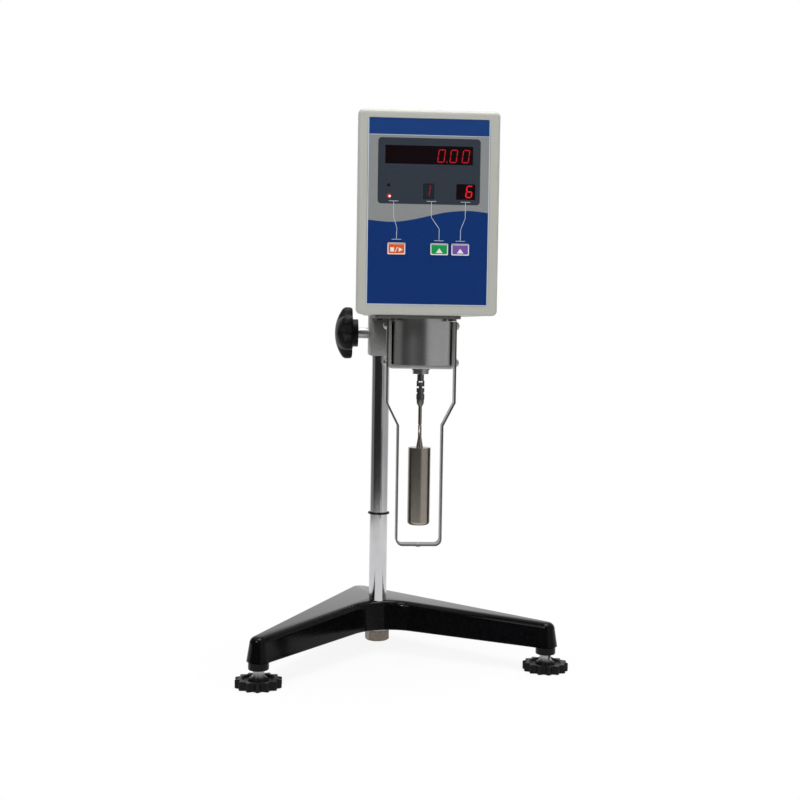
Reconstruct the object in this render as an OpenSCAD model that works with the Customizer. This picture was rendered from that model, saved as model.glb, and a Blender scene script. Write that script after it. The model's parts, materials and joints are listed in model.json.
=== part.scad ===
/* [Base casting] */
// Turn of the base about the column, against the head
base_turn = 11.5; // [0:0.5:20]
// Foot centre, forward of the column along the base's middle line
foot_reach = 99.5; // [90:0.5:110]
// Foot centre, sideways from the base's middle line
foot_side = 124.7; // [110:0.1:135]
// Radius of the rounded leg ends
leg_end_r = 10; // [9:0.1:12]
// Angle of the inner edges from the middle line
inner_angle = 48; // [46:1:50]
// Angle of the outer edges from the middle line
outer_angle = 36; // [34:1:38]
// Radius of the crotch between the legs
crotch_r = 24; // [18:1:32]
// Radius of the rounded tail
tail_r = 13; // [10:1:16]
// Height of the casting's underside above the bench
under_z = 21; // [20:0.5:24]
// Height of the casting's top at the column
top_z = 47.3; // [44:0.1:50]
// Fall of the top per millimetre away from the column
crown = 0.0316; // [0:0.0001:0.05]
// Radius of the top edge
edge_r = 4; // [2:0.5:5]
// Inward lean of the side walls over their height
draft = 2.3; // [0:0.1:3]
// Radius of the boss under each leg end
boss_r = 8.6; // [8:0.1:10]
// Drop of the boss below the casting
boss_drop = 6.3; // [4:0.1:8]

/* [Feet] */
// Outer radius of a foot knob
knob_r = 19.5; // [17:0.5:21]
// Height of a foot knob's top above the bench
knob_top_z = 7.6; // [6:0.1:8]
// Number of lobes round a foot knob
knob_lobes = 14; // [8:2:16]
// Radius of a foot stud
stud_r = 4.75; // [4:0.25:5]
// Distance from the column to the rear foot along the tail
rear_foot_back = 47; // [45:1:55]
// Distance of the rear foot from the base's middle line
rear_foot_side = 12; // [0:1:14]

/* [Column] */
// Radius of the column
column_r = 8; // [7:0.5:9]
// Height of the column's top end
column_top_z = 396; // [385:1:420]
// Radius of the column's threaded tail
tail_thread_r = 6; // [5:0.5:6]
// Across-flats width of the column nut
nut_flats = 19; // [18:0.5:19]
// Height of the stop ring on the column
stop_ring_z = 126; // [70:1:150]

/* [Carriage] */
// Width of the carriage block
block_w = 22; // [22:0.5:26]
// Height of the block's underside
block_z = 269; // [265:1:272]
// Height of the block's top behind the head
block_top_z = 308; // [304:1:312]
// Height of the pinion shaft
pinion_z = 288.3; // [286:0.1:290]
// Radius of the pinion shaft outside the block
shaft_r = 4.85; // [4:0.05:5]
// Radius of the lift knob over its lobes
lift_knob_r = 23.4; // [20:0.1:25]
// Number of lobes on the lift knob
lift_lobes = 6; // [5:1:8]
// Tooth module of the rack and its pinion
rack_module = 1; // [1:0.5:1]

/* [Head] */
// Sideways distance from the column to the spindle axis
arm_side = 29; // [25:0.5:32]
// Forward distance from the column to the spindle axis
arm_reach = 86; // [80:1:96]
// Width of the front bezel
head_w = 113; // [105:0.5:120]
// Height of the head's underside above the bench
head_z = 304; // [300:0.5:306]
// Height of the bezel
head_h = 162; // [150:0.5:170]
// Distance from the spindle axis forward to the bezel's face
head_front = 50; // [45:1:55]
// Depth of the bezel
bezel_d = 12; // [10:0.5:14]
// Wall of the rear cover
cover_wall = 2.5; // [2:0.5:3]
// Width of the keypad overlay
panel_w = 95.5; // [90:0.5:98]
// Height of the keypad overlay
panel_h = 145; // [140:0.5:148]
// Height of the overlay's lower edge
panel_z = 313.8; // [312:0.1:316]
// Travel of a key
key_travel = 0.5; // [0.3:0.1:0.5]

/* [Measuring end] */
// Radius of the aluminium can
can_r = 25.2; // [24:0.05:25.2]
// Height of the can's underside
can_z = 263; // [262:0.5:264]
// Thickness of the guard strip
strip_t = 1.5; // [1.2:0.1:1.8]
// Width of the guard strip
strip_w = 13; // [10:0.5:14]
// Half width over the guard's upper legs
guard_top_x = 29.2; // [28.5:0.1:30]
// Half width over the guard's lower legs
guard_low_x = 19.3; // [18.5:0.1:20]
// Height of the guard's underside
guard_z = 111; // [108:0.5:114]
// Radius of the cylinder rotor
rotor_r = 9.42; // [9:0.01:9.5]
// Length of the cylinder rotor
rotor_h = 65.1; // [60:0.1:70]
// Height of the rotor's lower end
rotor_z = 128.5; // [126:0.5:132]
// Height of the universal joint's centre
joint_z = 246.5; // [246:0.5:247]

/* [Hidden] */
$fn = 64;
fit = 0.05;

// Plan of the base, u forward along its middle line and v to the right, from the column
function base_xy(u, v) = [
    u * sin(base_turn) + v * cos(base_turn),
    v * sin(base_turn) - u * cos(base_turn)
];
left_foot_at = base_xy(foot_reach, -foot_side);
right_foot_at = base_xy(foot_reach, foot_side);
rear_foot_at = base_xy(-rear_foot_back, rear_foot_side);
outer_v = foot_side - foot_reach * tan(outer_angle) + leg_end_r / cos(outer_angle);
tail_back = outer_v / tan(outer_angle) - tail_r / sin(outer_angle);
crotch_u = foot_reach - foot_side / tan(inner_angle) + (leg_end_r + crotch_r) / sin(inner_angle);

// The origin is on the bench, in the middle of the part's own outline
extent_left = left_foot_at[0] - knob_r;
extent_right = right_foot_at[0] + knob_r;
extent_front = left_foot_at[1] - knob_r;
extent_rear = tail_back * cos(base_turn) + tail_r;
column_x = -(extent_left + extent_right) / 2;
column_y = -(extent_front + extent_rear) / 2;
spindle_x = column_x + arm_side;
spindle_y = column_y - arm_reach;

// Rack and pinion
pinion_teeth = 12;
pinion_pitch_r = rack_module * pinion_teeth / 2;
rack_pitch_y = column_r + 1.5;
rack_tip = 0.7;
rack_root = 1.15;
rack_back_y = 5;
rack_w = 6;
rack_z = 166;
rack_top_z = 389;
pinion_y = rack_pitch_y + pinion_pitch_r;
shaft_end_r = 3;
knob_face_x = -20.4;
star_back_x = -25.5;
dome_x = -41.4;
dome_rise = 8;
lobe_start = 13.5;
lobe_depth = 5.6;
hub_r = 12.5;

// Motor and drive gears
gear_module = 0.8;
gear_tip = 0.65;
gear_root = 0.9;
gear_slack = 0.2;
motor_teeth = 12;
drive_teeth = 48;
motor_x = gear_module * (motor_teeth + drive_teeth) / 2;
gear_z = head_z + 32;
gear_h = 4;
deck_z = head_z + 45;
deck_t = 3;
deck_tube_r = 7;
motor_spigot_r = 5.5;
sleeve_r = 3;
shaft_thin_r = 1.5;
disc_r = 15.5;
spindle_disc_z = can_z + 21;
spring_z = spindle_disc_z + 5.5;
drive_disc_z = spring_z + 3.5;

// Head
head_top_z = head_z + head_h;
bezel_back_y = bezel_d - head_front;
cover_back_y = arm_reach - 16;
panel_recess = 0.8;
panel_t = 0.6;
face_wall = 3.5;
window_w = panel_w - 14.1;
window_h = 52;
window_z = panel_z + panel_h - 15.2 - window_h;
key_w = 14.3;
key_h = 9.4;
key_z = panel_z + 42.5;
stop_key_x = -25.2;
rotor_key_x = 8.95;
speed_key_x = 25.7;
key_front = 0.4;
key_back = 1.9;
board_y = 10 - head_front;
board_t = 1.6;
board_half = head_w / 2 - 8.5;
board_low = panel_z + 8.2;
board_high = panel_z + panel_h - 6.8;
board_post_r = 1.6;
board_post_in = 4;
cover_half = head_w / 2 - 1.2;
cover_back_half = head_w / 2 - 6.5;
cover_high = head_top_z - 1.4;
cover_back_high = head_top_z - 7;
power_board_z = head_z + 88;
power_board_half = cover_back_half - cover_wall - 1.5;
switch_tip_y = key_back + key_travel + 0.2 - head_front;
cover_screw_at = [[-24, -18], [24, -18], [24, 60], [-34, 20]];
plate_screw_y = [-38, -24];
rocker_in = -3;
plate_t = 2.7;
plate_z = head_z - plate_t;
jack_x = 2;
jack_z = head_z + 18;
jack_r = 5.5;
rocker_x = 26;
rocker_z = head_z + 18;
level_y = 8;
level_r = 9;
level_z = head_top_z - 12;
vial_r = 7;
ear_in_x = can_r + 0.1;
ear_w = 16;
ear_top_z = 299.3;
bearing_r = 4.5;
collar_z = 234;
bush_r = 6.2;
foot_bore_z = 38.5;
spring_in = 4.2;
spring_out = 10.7;
spring_turns = 4;
spring_steps = 96;
liner_r = 9.2;
liner_h = 11;
pinion_hole_r = 7.4;
slot_w = rack_w + 0.8;
arm_front = -45;
arm_back = 26;
tension_r = 2.5;
yoke_out = 3.35;
yoke_in = 1.7;
yoke_half = 1.3;
cross_pin_r = 0.8;
cross_half = 3.1;
rotor_rod_r = 1.55;
screw_z = [264.8, 295.5];
bracket_z = can_z - 3.3;
boss_z = bracket_z - 4.4;

module at_column() translate([column_x, column_y, 0]) children();
module at_spindle() translate([spindle_x, spindle_y, 0]) children();
module at_base() at_column() rotate([0, 0, base_turn]) children();
module at_left_foot() at_column() translate([left_foot_at[0], left_foot_at[1], 0]) children();
module at_right_foot() at_column() translate([right_foot_at[0], right_foot_at[1], 0]) children();

// Bodies of revolution and flat plates
module tube(outer, inner, low, high) {
    translate([0, 0, low]) difference() {
        cylinder(r = outer, h = high - low);
        translate([0, 0, -1]) cylinder(r = inner, h = high - low + 2);
    }
}
module rod(radius, low, high) translate([0, 0, low]) cylinder(r = radius, h = high - low);
module along_x() rotate([0, 90, 0]) children();
module upright(y0, depth) {
    translate([0, y0 + depth, 0]) rotate([90, 0, 0]) linear_extrude(depth) children();
}
function arc(cx, cy, radius, from, to, steps) = [
    for (i = [0:steps])
        let (a = from + (to - from) * i / steps)
        [cx + radius * cos(a), cy + radius * sin(a)]
];
function rounded(x0, y0, x1, y1, r, steps = 6) = concat(
    arc(x1 - r, y1 - r, r, 0, 90, steps),
    arc(x0 + r, y1 - r, r, 90, 180, steps),
    arc(x0 + r, y0 + r, r, 180, 270, steps),
    arc(x1 - r, y0 + r, r, 270, 360, steps)
);
module rounded_rect(x0, y0, x1, y1, r) polygon(rounded(x0, y0, x1, y1, r));

// Closed skin over rings that hold the same number of points, counted anticlockwise from above
module skin(rings) {
    n = len(rings[0]);
    m = len(rings);
    sides = [
        for (j = [0:m - 2], i = [0:n - 1])
            let (a = j * n + i, b = j * n + (i + 1) % n)
            each [[a, a + n, b], [b, a + n, b + n]]
    ];
    polyhedron(
        points = [for (ring = rings) each ring],
        faces = concat([[for (i = [0:n - 1]) i]], sides, [[for (i = [n - 1:-1:0]) (m - 1) * n + i]])
    );
}

// Involute gear outline with the tooth space towards +X at angle 0
function inv(a) = tan(a) - a * PI / 180;
function tooth_angle(m, z, r, slack) =
    let (rp = m * z / 2, rb = rp * cos(20), rr = max(r, rb))
    90 / z - slack / rp * 180 / PI / 4 + (inv(20) - inv(acos(min(1, rb / rr)))) * 180 / PI;
function gear_points(m, z, tip, root, slack) =
    let (rp = m * z / 2, rs = [rp - root, rp - root / 3, rp + tip / 3, rp + tip])
    [
        for (t = [0:z - 1], side = [-1, 1], k = [0:3])
            let (r = side < 0 ? rs[k] : rs[3 - k])
            let (a = (t + 0.5) * 360 / z + side * tooth_angle(m, z, r, slack))
            [r * cos(a), r * sin(a)]
    ];

// Rack teeth as points along z, with a tooth centred at the pinion's height
rack_pitch = PI * rack_module;
rack_first = -floor((pinion_z - rack_z - 4) / rack_pitch);
rack_last = floor((rack_top_z - pinion_z - 4) / rack_pitch);
function rack_tooth(zc) =
    let (half = rack_pitch / 4 - 0.06, lean = tan(20))
    [
        [rack_pitch_y - rack_root, zc - half - rack_root * lean],
        [rack_pitch_y + rack_tip, zc - half + rack_tip * lean],
        [rack_pitch_y + rack_tip, zc + half - rack_tip * lean],
        [rack_pitch_y - rack_root, zc + half + rack_root * lean]
    ];

// Base casting: the plan at an inward offset e
function base_outline(e) = concat(
    arc(0, tail_back, tail_r - e, outer_angle, 180 - outer_angle, 14),
    arc(-foot_side, -foot_reach, leg_end_r - e, 180 - outer_angle, 264 + inner_angle, 12),
    arc(0, -crotch_u, crotch_r + e, 90 + (90 - inner_angle), inner_angle, 14),
    arc(foot_side, -foot_reach, leg_end_r - e, 276 - inner_angle, 360 + outer_angle, 12)
);
function crown_z(p) = top_z - crown * norm(p);
function base_ring(e, drop) = [
    for (p = base_outline(e)) [p[0], p[1], crown_z(p) - drop]
];
function base_flat(e, z) = [for (p = base_outline(e)) [p[0], p[1], z]];
module base_solid() {
    rings = concat(
        [base_flat(0.8, under_z), base_flat(0, under_z + 0.8)],
        [
            for (a = [0:22.5:90])
                base_ring(draft + edge_r * (1 - cos(a)), edge_r * (1 - sin(a)))
        ]
    );
    n = len(rings[0]);
    m = len(rings);
    hub = [0, 14, top_z - crown * 14];
    sides = [
        for (j = [0:m - 2], i = [0:n - 1])
            let (a = j * n + i, b = j * n + (i + 1) % n)
            each [[a, a + n, b], [b, a + n, b + n]]
    ];
    top = [for (i = [0:n - 1]) [m * n, (m - 1) * n + (i + 1) % n, (m - 1) * n + i]];
    polyhedron(
        points = concat([for (ring = rings) each ring], [hub]),
        faces = concat([[for (i = [0:n - 1]) i]], sides, top)
    );
}
module boss_profile() {
    rotate_extrude() polygon(concat(
        [[0, under_z + 1], [0, under_z - boss_drop]],
        arc(boss_r - 2, under_z - boss_drop + 2, 2, 270, 360, 6),
        [[boss_r, under_z + 1]]
    ));
}
module base_casting() {
    color([0.05, 0.05, 0.06]) difference() {
        union() {
            at_base() base_solid();
            at_left_foot() boss_profile();
            at_right_foot() boss_profile();
        }
        at_column() rod(column_r, under_z + 12, top_z + 5);
        at_column() rod(tail_thread_r + 0.2, under_z - 1, under_z + 13);
        at_left_foot() rod(bush_r, 10, foot_bore_z);
        at_right_foot() rod(bush_r, 10, foot_bore_z);
        at_column() translate([rear_foot_at[0], rear_foot_at[1], 0]) rod(3, 15, under_z + 9);
    }
}
module foot_bushes() {
    color([0.75, 0.6, 0.3]) {
        at_left_foot() tube(bush_r, stud_r + fit, under_z - boss_drop, 31);
        at_right_foot() tube(bush_r, stud_r + fit, under_z - boss_drop, 31);
    }
}

// Column with its rack
module column() {
    color([0.8, 0.8, 0.82]) at_column() difference() {
        union() {
            rod(tail_thread_r, under_z - 11, under_z + 12);
            rod(column_r, under_z + 12, column_top_z - 1);
            translate([0, 0, column_top_z - 1]) cylinder(r1 = column_r, r2 = column_r - 1, h = 1);
        }
        translate([-rack_w / 2, rack_back_y, rack_z]) cube([rack_w, 10, rack_top_z - rack_z]);
        rod(2.5, column_top_z - 12, column_top_z + 1);
    }
}
module rack() {
    low = rack_z;
    high = rack_top_z;
    teeth = [for (i = [rack_first:rack_last]) each rack_tooth(pinion_z + i * rack_pitch)];
    root_y = rack_pitch_y - rack_root;
    outline = concat(
        [[rack_back_y, low], [root_y, low]],
        teeth,
        [[root_y, high], [rack_back_y, high]]
    );
    color([0.6, 0.6, 0.62]) at_column() translate([-rack_w / 2, 0, 0])
        rotate([90, 0, 90]) linear_extrude(rack_w) polygon(outline);
}
module column_washer() {
    color([0.55, 0.55, 0.57]) at_column() tube(10.2, tail_thread_r, under_z - 1.4, under_z);
}
module column_nut() {
    top = under_z - 1.4;
    low = top - 9.6;
    corner = nut_flats / sqrt(3);
    color([0.12, 0.11, 0.1]) at_column() difference() {
        intersection() {
            translate([0, 0, low]) rotate([0, 0, 30 - 2]) cylinder(r = corner, h = 9.6, $fn = 6);
            union() {
                translate([0, 0, low]) cylinder(r1 = corner - 1.6, r2 = corner + 0.4, h = 1.2);
                rod(corner + 0.4, low + 1.2, top);
            }
        }
        rod(tail_thread_r, low - 1, top + 1);
    }
}
module column_cap() {
    color([0.07, 0.07, 0.08]) at_column() {
        rod(10, column_top_z, column_top_z + 4);
        rod(2.5, column_top_z - 10, column_top_z + 1);
    }
}
module rear_foot() {
    color([0.1, 0.1, 0.1]) at_column() translate([rear_foot_at[0], rear_foot_at[1], 0]) {
        translate([0, 0, 0]) cylinder(r1 = 5.5, r2 = 6, h = 1);
        rod(6, 1, under_z);
        rod(3, under_z - 1, under_z + 8.5);
    }
}
module stop_ring() {
    section = 0.9;
    color([0.08, 0.08, 0.08]) at_column() translate([0, 0, stop_ring_z])
        rotate_extrude() translate([column_r + fit + section, 0]) circle(section, $fn = 24);
}

// Levelling feet
module foot_pad() {
    color([0.1, 0.1, 0.1]) {
        rod(11, 0, 1.2);
        rod(3, 1.1, 2.4);
    }
}
module foot_knob() {
    body_r = knob_r - 2.4;
    color([0.09, 0.09, 0.1]) difference() {
        union() {
            rod(body_r, 0.3, knob_top_z);
            for (i = [0:knob_lobes - 1]) rotate([0, 0, i * 360 / knob_lobes - 90])
                translate([knob_r - 2.6, 0, 0]) rod(2.6, 0.3, knob_top_z);
            rod(7.6, 1, knob_top_z + 0.8);
        }
        rod(11.3, -1, 1.3);
        rod(3.3, 1, 2.8);
        rod(stud_r, 2.8, 12);
        for (i = [0:knob_lobes - 1]) rotate([0, 0, i * 360 / knob_lobes - 90])
            translate([12.2, 0, 0]) rod(2, knob_top_z - 2.2, knob_top_z + 1);
    }
}
module foot_stud() {
    color([0.7, 0.7, 0.72]) {
        rod(stud_r, 2.8, 31.5);
        rod(5.6, knob_top_z + 0.8, knob_top_z + 2);
    }
}
module left_foot_pad() at_left_foot() foot_pad();
module left_foot_knob() at_left_foot() foot_knob();
module left_foot_stud() at_left_foot() foot_stud();
module right_foot_pad() at_right_foot() foot_pad();
module right_foot_knob() at_right_foot() foot_knob();
module right_foot_stud() at_right_foot() foot_stud();

// Carriage on the column
module rack_slot(low, high) {
    translate([-slot_w / 2, 0, low]) cube([slot_w, rack_pitch_y + rack_tip + 0.4, high - low]);
}
module carriage_block() {
    half = block_w / 2;
    color([0.62, 0.62, 0.6]) at_column() difference() {
        union() {
            translate([0, 0, block_z]) linear_extrude(block_top_z - block_z)
                rounded_rect(-half, -13, half, arm_back, 2);
            translate([0, 0, block_z]) linear_extrude(plate_z - block_z)
                rounded_rect(-half, arm_front, half, 10, 2);
        }
        rod(liner_r, block_z - 1, block_top_z + 1);
        rack_slot(block_z - 1, block_top_z + 1);
        translate([-half - 1, pinion_y, pinion_z]) along_x() cylinder(r = pinion_hole_r, h = half + 6);
        translate([0, pinion_y, pinion_z]) along_x() cylinder(r = 5, h = half + 1);
        translate([5, 0, pinion_z]) along_x() cylinder(r = tension_r, h = half);
        for (y = plate_screw_y) translate([0, y, 0]) {
            rod(2.5, block_z - 1, plate_z + 1);
            rod(4.4, block_z - 1, block_z + 6);
        }
    }
}
module guide_liners() {
    color([0.85, 0.85, 0.8]) at_column() difference() {
        union() {
            tube(liner_r, column_r + fit, block_z, block_z + liner_h);
            tube(liner_r, column_r + fit, block_top_z - liner_h, block_top_z);
        }
        rack_slot(block_z - 1, block_top_z + 1);
    }
}
module pinion_bushes() {
    half = block_w / 2;
    color([0.75, 0.6, 0.3]) at_column() translate([0, pinion_y, pinion_z]) along_x() {
        tube(pinion_hole_r, shaft_r + fit, -half, -5);
        tube(5, shaft_end_r + fit, 5.2, half);
    }
}
module tension_screw() {
    end = block_w / 2 - 0.4;
    color([0.15, 0.15, 0.16]) at_column() translate([0, 0, pinion_z]) along_x() difference() {
        rod(tension_r, column_r + fit, end);
        translate([0, 0, end - 1.6]) cylinder(r = 1.4, h = 2, $fn = 6);
    }
}
module head_plate() {
    color([0.35, 0.35, 0.35]) difference() {
        at_spindle() translate([0, 0, plate_z]) linear_extrude(plate_t)
            rounded_rect(-40, -26, 30.3, arm_reach - 15, 3);
        at_spindle() rod(8, plate_z - 1, head_z + 1);
        at_column() for (y = plate_screw_y) translate([0, y, 0]) rod(2.5, plate_z - 1, head_z + 1);
        at_spindle() for (p = cover_screw_at) translate([p[0], p[1], 0])
            rod(2, plate_z - 1, head_z + 1);
    }
}
module plate_screws() {
    color([0.3, 0.3, 0.32]) at_column() for (y = plate_screw_y) translate([0, y, 0]) {
        rod(2.5, block_z + 1, head_z + 8);
        rod(4.3, block_z + 1, block_z + 6);
    }
}
module cover_screws() {
    color([0.3, 0.3, 0.32]) at_spindle() for (p = cover_screw_at) translate([p[0], p[1], 0]) {
        rod(2, plate_z - 1, head_z + 5);
        rod(3.5, plate_z - 1.8, plate_z);
    }
}

// Lift drive
function lobe_fade(r) = max(0, (r - lobe_start) / (lift_knob_r - lobe_start));
function star_ring(r, z) = [
    for (a = [0:5:355])
        let (valley = pow(0.5 - 0.5 * cos(lift_lobes * a), 1.5))
        let (edge = r - lobe_depth * valley * lobe_fade(r))
        [edge * cos(a), edge * sin(a), z]
];
module lift_knob() {
    shares = [0.15, 0.4, 0.6, 0.76, 0.88, 0.95];
    dome = [
        for (f = shares) star_ring(f * lift_knob_r, dome_x + dome_rise * pow(f, 2.2))
    ];
    rim = [
        star_ring(lift_knob_r - 0.3, dome_x + dome_rise + 0.8),
        star_ring(lift_knob_r, dome_x + dome_rise + 2),
        star_ring(lift_knob_r, star_back_x - 1.2),
        star_ring(lift_knob_r - 1, star_back_x)
    ];
    color([0.1, 0.1, 0.1]) at_column() translate([0, pinion_y, pinion_z]) along_x() difference() {
        union() {
            skin(concat(dome, rim));
            rod(hub_r, star_back_x - 2, knob_face_x);
        }
        rod(shaft_r, star_back_x - 6, knob_face_x + 1);
    }
}
module pinion_shaft() {
    color([0.6, 0.6, 0.6]) at_column() translate([0, pinion_y, pinion_z]) along_x() {
        rod(shaft_r, star_back_x - 6, -4.6);
        rod(shaft_end_r, -5, block_w / 2 - 0.5);
    }
}
module pinion() {
    color([0.65, 0.55, 0.3]) at_column() translate([-3.5, pinion_y, pinion_z])
        rotate([90, 0, 90]) linear_extrude(7) difference() {
            rotate([0, 0, 180]) polygon(gear_points(rack_module, pinion_teeth, 0.9, 1, 0.24));
            circle(shaft_end_r);
        }
}

// Head housing
module bezel_outline(inset, r) {
    half = head_w / 2;
    rounded_rect(inset - half, head_z + inset, half - inset, head_top_z - inset, r);
}
module panel_outline(grow) {
    half = panel_w / 2 + grow;
    rounded_rect(-half, panel_z - grow, half, panel_z + panel_h + grow, 2);
}
module window_outline(grow) {
    half = window_w / 2 + grow;
    rounded_rect(-half, window_z - grow, half, window_z + window_h + grow, 2.8);
}
module key_outlines(grow) {
    for (x = [stop_key_x, rotor_key_x, speed_key_x])
        rounded_rect(
            x - key_w / 2 - grow, key_z - key_h / 2 - grow,
            x + key_w / 2 + grow, key_z + key_h / 2 + grow, 1
        );
}
module front_bezel() {
    face = -head_front;
    color([0.82, 0.81, 0.77]) at_spindle() difference() {
        upright(face, bezel_d) bezel_outline(0, 4);
        upright(face - 1, 1 + panel_recess) panel_outline(0.3);
        upright(face + face_wall, bezel_d) bezel_outline(3, 2);
        upright(face - 1, bezel_d) window_outline(-3);
        upright(face - 1, bezel_d) key_outlines(0.3);
    }
}
function cover_ring(y, half, low, high, r) = [
    for (p = rounded(-half, low, half, high, r)) [p[0], y, p[1]]
];
module rear_cover() {
    y0 = bezel_back_y;
    y1 = cover_back_y;
    wall = cover_wall;
    low = head_z;
    color([0.8, 0.79, 0.75]) at_spindle() difference() {
        skin([
            cover_ring(y1, cover_back_half, low, cover_back_high, 6),
            cover_ring(y0, cover_half, low, cover_high, 6)
        ]);
        skin([
            cover_ring(y1 - wall, cover_back_half - wall, low + wall, cover_back_high - wall, 4),
            cover_ring(y0 - 1, cover_half - wall, low + wall, cover_high - wall, 4)
        ]);
        rod(8, low - 1, low + 5);
        for (p = cover_screw_at) translate([p[0], p[1], 0]) rod(2, low - 1, low + 5);
        for (y = plate_screw_y) translate([-arm_side, arm_reach + y, 0]) rod(2.5, low - 1, low + 5);
        translate([jack_x, y1 - 5, jack_z]) rotate([-90, 0, 0]) cylinder(r = jack_r, h = 10);
        translate([rocker_x - 6.5, y1 - 5, rocker_z - 9.5]) cube([13, 10, 19]);
        translate([0, level_y, level_z - 4]) cylinder(r = level_r, h = 20);
    }
}
module overlay_panel() {
    color([0.2, 0.3, 0.5]) at_spindle() upright(panel_recess - panel_t - head_front, panel_t)
        difference() {
            panel_outline(0);
            window_outline(0);
            key_outlines(0.25);
        }
}
module display_window() {
    color([0.2, 0.22, 0.25]) at_spindle()
        upright(panel_recess - panel_t - head_front, panel_t) window_outline(0);
}
module display_modules() {
    color([0.05, 0.05, 0.05]) at_spindle() {
        half = window_w / 2 - 7.7;
        translate([-half, board_y - 6, window_z + 29.9]) cube([2 * half, 6, 17]);
        for (x = [-0.6, half - 4]) translate([x - 6.3, board_y - 6, window_z + 1.9])
            cube([12.6, 6, 17]);
    }
}
module status_leds() {
    color([0.8, 0.1, 0.1]) at_spindle() for (rise = [14.7, 6.2])
        translate([-window_w / 2 + 8.7, board_y, window_z + rise]) rotate([90, 0, 0]) {
            cylinder(r = 1.5, h = 4.6);
            translate([0, 0, 4.6]) sphere(1.5);
            cylinder(r = 1.9, h = 1);
        }
}
module circuit_board() {
    post_x = board_half - board_post_in;
    post_z = [board_low + board_post_in, board_high - board_post_in];
    color([0.1, 0.35, 0.2]) at_spindle() difference() {
        translate([-board_half, board_y, board_low])
            cube([2 * board_half, board_t, board_high - board_low]);
        for (x = [-post_x, post_x], z = post_z)
            translate([x, board_y - 1, z]) rotate([-90, 0, 0]) cylinder(r = board_post_r, h = 5);
    }
    color([0.8, 0.79, 0.75]) at_spindle() for (x = [-post_x, post_x], z = post_z)
        translate([x, board_y + board_t, z]) rotate([90, 0, 0]) {
            cylinder(r = board_post_r, h = board_y + board_t + head_front - face_wall);
            translate([0, 0, board_t])
                cylinder(r = 3, h = board_y + head_front - face_wall);
        }
}
module key_switches() {
    color([0.15, 0.15, 0.15]) at_spindle() for (x = [stop_key_x, rotor_key_x, speed_key_x]) {
        translate([x - 3, board_y - 4, key_z - 3]) cube([6, 4, 6]);
        translate([x, board_y, key_z]) rotate([90, 0, 0])
            cylinder(r = 1.7, h = board_y - switch_tip_y);
    }
}
module key_cap(x) {
    at_spindle() upright(-head_front - key_front, key_front + key_back)
        rounded_rect(x - key_w / 2, key_z - key_h / 2, x + key_w / 2, key_z + key_h / 2, 0.9);
}
module stop_key() color([0.9, 0.45, 0.1]) key_cap(stop_key_x);
module rotor_key() color([0.3, 0.65, 0.3]) key_cap(rotor_key_x);
module speed_key() color([0.55, 0.4, 0.7]) key_cap(speed_key_x);
module power_jack() {
    color([0.08, 0.08, 0.08]) at_spindle() translate([jack_x, cover_back_y, jack_z])
        rotate([-90, 0, 0]) {
            tube(jack_r, 3.2, -12, 1.5);
            tube(7.5, 3.2, 0, 1.5);
            rod(jack_r, -14, -12);
            rod(1.05, -12, 0.5);
        }
}
module switch_body() {
    color([0.08, 0.08, 0.08]) at_spindle() translate([rocker_x, cover_back_y, rocker_z])
        difference() {
            union() {
                translate([-6.5, -14, -9.5]) cube([13, 14, 19]);
                translate([-8, 0, -11]) cube([16, 1.8, 22]);
            }
            translate([-4.5, -8, -7.5]) cube([9, 12, 15]);
            translate([-6, rocker_in, 0]) along_x() cylinder(r = 1 + fit, h = 12);
        }
}
module power_rocker() {
    color([0.15, 0.15, 0.15]) at_spindle() translate([rocker_x, cover_back_y + rocker_in, rocker_z]) {
        translate([-4.2, 0, 0]) along_x() linear_extrude(8.4)
            polygon([[-5.6, 3.8], [0, 4], [5.6, 5.6], [5.6, 2.4], [1.5, -2], [-1.5, -2], [-5.6, 0.6]]);
        translate([-5.8, 0, 0]) along_x() cylinder(r = 1, h = 11.6);
    }
}
module level_housing() {
    color([0.75, 0.75, 0.75]) at_spindle() translate([0, level_y, 0]) {
        tube(level_r, vial_r, level_z, level_z + 7.6);
        rod(level_r, level_z - 1.5, level_z);
    }
}
module level_vial() {
    color([0.6, 0.8, 0.3]) at_spindle() translate([0, level_y, 0]) rod(vial_r, level_z, level_z + 7);
}

// Measuring end below the head
module sensor_can() {
    color([0.75, 0.75, 0.76]) at_spindle() difference() {
        rod(can_r, can_z, plate_z);
        rod(can_r - 2, can_z + 2, plate_z + 1);
        rod(4.5, can_z - 1, can_z + 3);
    }
}
module guard_bracket() {
    x1 = guard_top_x - strip_t;
    x2 = ear_in_x;
    bend = 3.5;
    outline = concat(
        [[-x2, ear_top_z], [-x1, ear_top_z]],
        arc(-x1 + bend, bracket_z + bend, bend, 180, 270, 6),
        arc(x1 - bend, bracket_z + bend, bend, 270, 360, 6),
        [[x1, ear_top_z], [x2, ear_top_z], [x2, can_z + 1], [x2 - 1, can_z]],
        [[-x2 + 1, can_z], [-x2, can_z + 1]]
    );
    color([0.72, 0.72, 0.73]) at_spindle() difference() {
        upright(-ear_w / 2, ear_w) polygon(outline);
        rod(bearing_r, bracket_z - 1, can_z + 1);
        for (z = screw_z) translate([-40, 0, z]) along_x() cylinder(r = 2, h = 80);
    }
}
module bearing_boss() {
    color([0.7, 0.7, 0.7]) at_spindle() {
        tube(6.8, 3.3, boss_z, bracket_z);
        tube(7.6, 3.3, bracket_z - 1.2, bracket_z);
        tube(bearing_r, shaft_thin_r + fit, bracket_z, can_z + 4);
    }
}
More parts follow.
